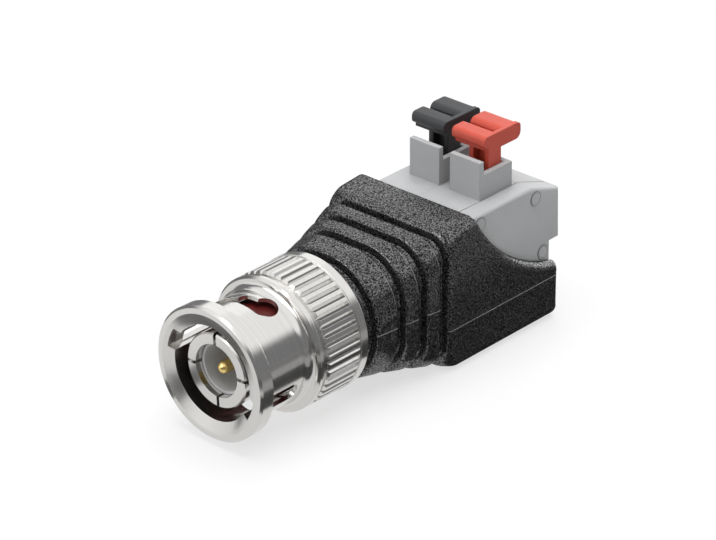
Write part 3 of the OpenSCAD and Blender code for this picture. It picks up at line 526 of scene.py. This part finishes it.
def roundCorners(points, radii):
    # each corner becomes a parabola between the two points on its legs a radius away from it
    points = np.array(points, float)
    t = np.linspace(0, 1, bootCounts["roundRows"])[:, None]
    run = [points[:1]]
    for before, at, after, r in zip(points[:-2], points[1:-1], points[2:], radii):
        a = at + (before - at) / np.linalg.norm(before - at) * r
        b = at + (after - at) / np.linalg.norm(after - at) * r
        run.append((1 - t) ** 2 * a + 2 * t * (1 - t) * at + t ** 2 * b)
    run.append(points[-1:])
    return np.vstack(run)


def ribSpans(s):
    # start and stop of each rib: the first has its own length, the others count back from the body
    starts = [s["body"] - i * s["pitch"] for i in (2, 1)]
    others = [(start, start + s["pitch"] - s["gap"]) for start in starts]
    return [(s["ribsStart"], s["ribsStart"] + s["firstRib"])] + others


def bootStations(s):
    # places along the axis and insets below the ribs' tops, from the front face to the roof's end
    deep = s["depth"]
    points = [(s["front"], deep + s["faceDepth"]), (s["front"], deep)]
    radii = [s["frontRound"]]
    for start, stop in ribSpans(s):
        points += [(start, deep), (start, 0), (stop, 0), (stop, deep)]
        radii += [s["grooveRound"], s["ribRound"], s["ribRound"], s["grooveRound"]]
    points += [(s["body"], deep), (s["body"], 0), (s["roofEnd"], 0)]
    radii += [s["grooveRound"], s["bodyRound"]]
    path = roundCorners(points, radii)
    return np.vstack([path[:-2], np.linspace(path[-2], path[-1], bootCounts["roofRows"])])


def stepped(values, *shares):
    # the first value, plus each step to the next one times its share
    total = values[0]
    for step, share in zip(np.diff(values), shares):
        total = total + step * share
    return total


def bootSizes(s, y):
    # half width, top, bottom and corner radius at y, changing over the ribs and then over the body
    share = np.clip((y - s["front"]) / (s["body"] - s["front"]), 0, 1)
    turn = s["body"] + s["shoulder"][0] * (s["roofEnd"] - s["body"])
    rise = np.interp(y, [s["body"], turn, s["roofEnd"]], [0, s["shoulder"][1], 1])
    settle = np.clip((y - s["body"]) / (turn - s["body"]), 0, 1)
    wide = stepped(s["halfWidth"], share)
    top = stepped(s["top"], share, rise)
    bottom = stepped(s["bottom"], share, settle)
    corner = stepped(s["corner"], share ** s["cornerPower"], settle * (2 - settle))
    return wide, top, bottom, corner


def lowerRun(wide, bottom, corner):
    # from the middle underneath to the side: a flat run and a quarter circle
    t, a = evenly("under"), np.radians(evenly("low", -90, 0))
    x = np.hstack([(wide - corner) * t, wide - corner + corner * np.cos(a)])
    return x, np.hstack([-bottom + 0 * t, corner - bottom + corner * np.sin(a)])


def sideRun(low, high, seam, s):
    # heights up the side, even below the seam, close across it and even above it;
    # the seam's bead is a bell curve of the height
    room = s["seamRoom"] * s["seamWidth"]
    below, above = seam - room, seam + room
    cross = np.linspace(-1, 1, bootCounts["seam"]) * s["seamWidth"]
    z = np.hstack([low + (below - low) * evenly("side"), seam + cross,
                   above + (high - above) * evenly("upper")])
    return z, np.exp(-((z - seam) / (s["seamBell"] * s["seamWidth"])) ** 2)


def sideMark(x, bead):
    # the mark that the material reads: the bead on the side and nothing elsewhere
    mark = np.zeros_like(x)
    mark[:, sideStart:sideEnd] = bead
    return mark


def halfSection(wide, top, bottom, corner, seam, shown, s):
    # bottom middle, lower corner, side with its seam, upper corner, roof to the middle
    lowX, lowZ = lowerRun(wide, bottom, corner)
    side, bead = sideRun(corner - bottom, top - corner, seam, s)
    bead = bead * shown
    a = np.radians(evenly("high", 0, 90))
    roof = np.linspace(1, 0, sum(bootCounts[key] for key in ("rim", "drop", "floor")))
    x = np.hstack([lowX, wide + s["seamHeight"] * (bead - 1), wide - corner + corner * np.cos(a),
                   (wide - corner) * roof])
    z = np.hstack([lowZ, side, top - corner + corner * np.sin(a), top + 0 * roof])
    return x, z, sideMark(x, bead)


def halfWall(y, inset, inner, s):
    # the same run beside the block: up the wall, over its edge by a quarter ellipse, down inside and
    # along the floor; the edge's height follows a circle in y and z
    outer, roof, bend = s["halfWidth"][1], s["top"][2], s["corner"][2]
    wide, bottom, corner = outer - inset, s["bottom"][2] - inset, bend - inset
    inside, base = inner + s["innerShare"] * inset, s["floor"] - s["innerShare"] * inset
    cy, cz = s["arcCentre"]
    fall = np.sqrt(s["arcRadius"] ** 2 - (y - cy) ** 2)
    peak = roof - bend + np.sqrt(bend ** 2 - max(inner - outer + bend, 0) ** 2)
    edge = np.minimum(cz - fall, peak) - inset
    tall = np.minimum(s["edge"] * s["arcRadius"] / fall, edge - s["seamBody"] - s["overSeam"])
    reach = np.minimum(s["edge"], wide - inside - s["rimWidth"])
    side, bead = sideRun(corner - bottom, edge - tall, s["seamBody"] + 0 * y, s)
    a = np.radians(evenly("high", 0, 90))
    x = np.hstack([wide + s["seamHeight"] * (bead - 1), wide - reach + reach * np.cos(a)])
    z = np.hstack([side, edge - tall + tall * np.sin(a)])
    # near the roof the wall stays within the body's upper corner, and its rim never closes up
    flank = np.clip(z - (roof - bend), 0, bend - tiny)
    x = np.minimum(x, outer - bend + np.sqrt(bend ** 2 - flank ** 2) - inset)
    x = np.maximum(x, inside + s["rimWidth"])
    lowX, lowZ = lowerRun(wide, bottom, corner)
    rim, drop = evenly("rim"), evenly("drop")
    ground = np.linspace(1, 0, bootCounts["floor"])
    lastX = x[:, -1:]
    x = np.hstack([lowX, x, lastX + (inside - lastX) * rim, inside + 0 * drop, inside * ground])
    z = np.hstack([lowZ, z, edge + 0 * rim, edge + (base - edge) * drop, base + 0 * ground])
    return x, z, sideMark(x, bead)


def wholeLoop(right, left):
    # x, z and mark of two halves as one closed loop, without doubling the points in the middle
    halves = zip(right, left, (-1, 1, 1))
    return [np.hstack([one, sign * other[:, -2:0:-1]]) for one, other, sign in halves]


def arcMiddle(s):
    # centre of the walls' hollow edge: off the chord's middle by the root of the radius squared less
    # half the chord squared
    start = np.array([s["roofEnd"], s["top"][2]])
    stop = np.array([s["end"], s["sideRear"]])
    chord = stop - start
    length = np.linalg.norm(chord)
    off = math.sqrt(s["arcRadius"] ** 2 - length ** 2 / 4)
    return (start + stop) / 2 + off * np.array([-chord[1], chord[0]]) / length


def ribLoops(s):
    # the ribs and the body: the section at each station, drawn in by the inset there
    y, inset = np.hsplit(bootStations(s), 2)
    sizes = [size - inset for size in bootSizes(s, y)]
    seam = np.interp(y, [s["body"] - s["gap"], s["body"]], [s["seamRibs"], s["seamBody"]])
    half = halfSection(*sizes, seam, inset < s["seamInset"], s)
    # painted highlight: a bell curve along the axis at each rib's rear edge, times a half sine over
    # the corner, added to the mark that takes the seam colour
    stops = np.array(ribSpans(s))[:, 1]
    bell = np.exp(-((y - stops + s["glintBack"]) / s["glintWidth"]) ** 2).max(axis=1, keepdims=True)
    over = np.sin(np.linspace(0, np.pi, bootCounts["high"]))
    half[2][:, sideEnd:sideEnd + bootCounts["high"]] += s["glintLevel"] * bell * over
    return y, wholeLoop(half, half)


def boreLoops(front, s):
    # the bore: circles at the angles of the front loop, wide behind the step and narrow before it
    angle = np.arctan2(front[1][:1], front[0][:1])
    narrow, broad = s["bore"]
    radius = asColumn([broad, broad, narrow, narrow])
    y = asColumn([s["boreEnd"], s["boreStep"], s["boreStep"], s["front"]])
    return y, (radius * np.cos(angle), radius * np.sin(angle), 0 * radius * angle)


def wallLoops(s):
    # the walls: even steps of angle along the hollow edge, then a quarter circle at the rear end
    middle, radius, bend = s["arcCentre"][0], s["arcRadius"], s["endRound"]
    first, last = [math.asin((middle - v) / radius) for v in (s["wallStart"], s["end"] - bend)]
    turn = np.linspace(first, last, bootCounts["wallRows"])
    rear = np.radians(np.linspace(0, 90, bootCounts["endRows"]))[1:]
    y = asColumn(np.hstack([middle - radius * np.sin(turn), s["end"] - bend * (1 - np.sin(rear))]))
    inset = asColumn(np.hstack([0 * turn, bend * (1 - np.cos(rear))]))
    halves = [halfWall(y, inset, s[key], s) for key in ("wallRight", "wallLeft")]
    return y, wholeLoop(*halves)


def makeBoot(s):
    # loops of the bore, then of the ribs and the body, then of the walls, joined to one skin
    s = dict(s, arcCentre=arcMiddle(s))
    ribY, ribs = ribLoops(s)
    boreY, bore = boreLoops(ribs, s)
    wallY, walls = wallLoops(s)
    x, z, mark = (np.vstack(loops) for loops in zip(bore, ribs, walls))
    y = np.vstack([boreY, ribY, wallY])
    return gridPiece("bootSkin", (x, y, z), "boot_plastic", s["sharp"], mark=mark)


bootSkin = makeBoot(bootShape)
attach(bootSkin, "plug")
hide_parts("boot")
print("boot made,", len(bootSkin.data.polygons), "faces")

# end cover: its side view as points in y and z, each with its outer edge's rounding, sizes in mm
coverShape = dict(points=((30.65, -6.9), (43.15, -6.9), (43.15, 0.9), (44.65, 0.9), (44.65, 6.6),
                          (40.25, 8.1), (30.65, 8.1)),
                  rounds=(0.12, 0.12, 0.12, 0.15, 0.4, 0.4, 0.4), joint=0.16, xRange=(5.5, 7.6),
                  steps=6, bends=6, sharp=30)


def makeCover(s):
    # each point goes in along the mitre of its edges by r(1 - cos a) while x runs out by r sin a
    points, rounds = np.array(s["points"]), np.array(s["rounds"])
    along = np.roll(points, -1, axis=0) - points
    inward = np.stack([-along[:, 1], along[:, 0]], axis=1)
    inward /= np.linalg.norm(along, axis=1)[:, None]
    before = np.roll(inward, 1, axis=0)
    mitre = (before + inward) / (1 + np.sum(before * inward, axis=1))[:, None]
    a = np.radians(np.linspace(0, 90, s["bends"]))[:, None]
    drawnIn, short = 1 - np.cos(a), 1 - np.sin(a)
    (x0, x1), joint = s["xRange"], s["joint"]
    inset = np.vstack([joint * drawnIn[::-1] + 0 * rounds, rounds * drawnIn])
    x = np.vstack([x0 + joint * short[::-1] + 0 * rounds, x1 - rounds * short])
    y, z = (points[:, i] + mitre[:, i] * inset for i in (0, 1))
    corners = np.dstack([x, y, z])[:, :, None]
    share = np.linspace(0, 1, s["steps"], endpoint=False)[:, None]
    grid = corners * (1 - share) + np.roll(corners, -1, axis=1) * share
    grid = grid.reshape(len(x), -1, 3)[:, ::-1]  # the other way round, so that faces point outwards
    return gridPiece("endCoverSkin", np.moveaxis(grid, 2, 0), "block_plastic", s["sharp"])


coverSkin = makeCover(coverShape)
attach(coverSkin, "plug")
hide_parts("end_cover")

# the rings that stand round the peg ends on the end cover, sizes in mm
ringShape = dict(places=((31.95, 7.0), (40.75, 6.7), (42.05, 0.0)), radius=0.76, tube=0.08,
                 face=7.6, around=40, section=10, paintedShadeRise=1.6)


def fullTurn(count):
    # even angles round a circle
    return np.linspace(0, 2 * np.pi, count, endpoint=False)


def makeRing(number, place, s):
    # a torus: a small circle in the plane of x and the radius, carried round the peg
    turn, bend = fullTurn(s["around"])[:, None], fullTurn(s["section"])
    reach = s["radius"] + s["tube"] * np.cos(bend)
    grid = (s["face"] + s["tube"] * np.sin(bend), place[0] + reach * np.cos(turn),
            place[1] + reach * np.sin(turn))
    # the outer half is marked, and the material gives it painted shade, as of a gap round a peg
    mark = np.clip(s["paintedShadeRise"] * np.cos(bend), 0, 1)
    ring = gridPiece(f"pegRing{number}", grid, "block_plastic", closed=True, mark=mark)
    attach(ring, "plug")


for number, place in enumerate(ringShape["places"], 1):
    makeRing(number, place, ringShape)
print("end cover and rings made")

# wave washers behind the plug's flange, in mm; keep is the share of height left in a pulled nut
washerShape = dict(washers=dict(frontWasher=("wave_washer_front", 9.55),
                                rearWasher=("wave_washer_rear", 10.70)),
                   radii=(4.55, 5.55), height=1.1, strip=0.3, flange=9.55,
                   waves=3, around=120, section=16, squareness=0.3, keep=0.56)


def roundedSquare(count, power):
    # a closed loop from -1 to 1 in both directions, squarer as the power falls
    turn = fullTurn(count) + np.pi / count
    return [np.sign(v) * np.abs(v) ** power for v in (np.cos(turn), np.sin(turn))]


def makeWasher(name, node, start, s):
    # a strip's section carried round the ring, while a sine of the angle lifts it along the axis;
    # the section is turned round, so that faces point outwards
    turn = fullTurn(s["around"])[:, None]
    across, up = np.flip(roundedSquare(s["section"], s["squareness"]), axis=1)
    inner, outer = s["radii"]
    reach = (inner + outer) / 2 + (outer - inner) / 2 * across
    wave = (s["height"] - s["strip"]) / 2 * (1 + np.sin(s["waves"] * turn))
    grid = (reach * np.cos(turn), start + s["strip"] / 2 * (1 + up) + wave, reach * np.sin(turn))
    washer = gridPiece(name, grid, "spring_steel", closed=True)
    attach(washer, "plug")
    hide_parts(node)
    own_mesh(washer)


for name, (node, start) in washerShape["washers"].items():
    makeWasher(name, node, start, washerShape)
print("wave washers made")

# clamp springs: floor leg, loop and rising tongue in y and z, the pole's middle in x, sizes in mm
springShape = dict(poles=dict(negativeSpringSkin=("clamp_spring_negative", -2.35, "black_button"),
                              positiveSpringSkin=("clamp_spring_positive", 3.15, "red_button")),
                   width=4.1, strip=0.35, loop=(35.076, -2.975), radius=2.2, legEnd=41.53, angle=40,
                   tongue=10.6, steps=(8, 32, 24), section=16, squareness=0.3,
                   fixedBelow=-4.9, movingAbove=2.8)


def makeSpring(name, node, middle, s):
    # a strip's section carried along a line, an arc from underneath round the front, and a line
    cy, cz = s["loop"]
    radius, slope = s["radius"], np.radians(s["angle"])
    legRows, arcRows, tongueRows = s["steps"]
    leg = np.linspace(s["legEnd"], cy, legRows, endpoint=False)
    bend = np.radians(np.linspace(270, 90 + s["angle"], arcRows))
    rise = np.linspace(0, s["tongue"], tongueRows)[1:]
    y = np.hstack([leg, cy + radius * np.cos(bend),
                   cy - radius * np.sin(slope) + rise * np.cos(slope)])
    z = np.hstack([cz - radius + 0 * leg, cz + radius * np.sin(bend),
                   cz + radius * np.cos(slope) + rise * np.sin(slope)])
    heading = np.hstack([np.pi + 0 * leg, bend - np.pi / 2, slope + 0 * rise])[:, None]
    across, up = roundedSquare(s["section"], s["squareness"])
    off = s["strip"] / 2 * up
    grid = (middle + s["width"] / 2 * across, y[:, None] - off * np.sin(heading),
            z[:, None] + off * np.cos(heading))
    spring = gridPiece(name, grid, "spring_steel")
    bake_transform(spring)
    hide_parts(node)


for name, (node, middle, button) in springShape["poles"].items():
    makeSpring(name, node, middle, springShape)
print("clamp springs made")
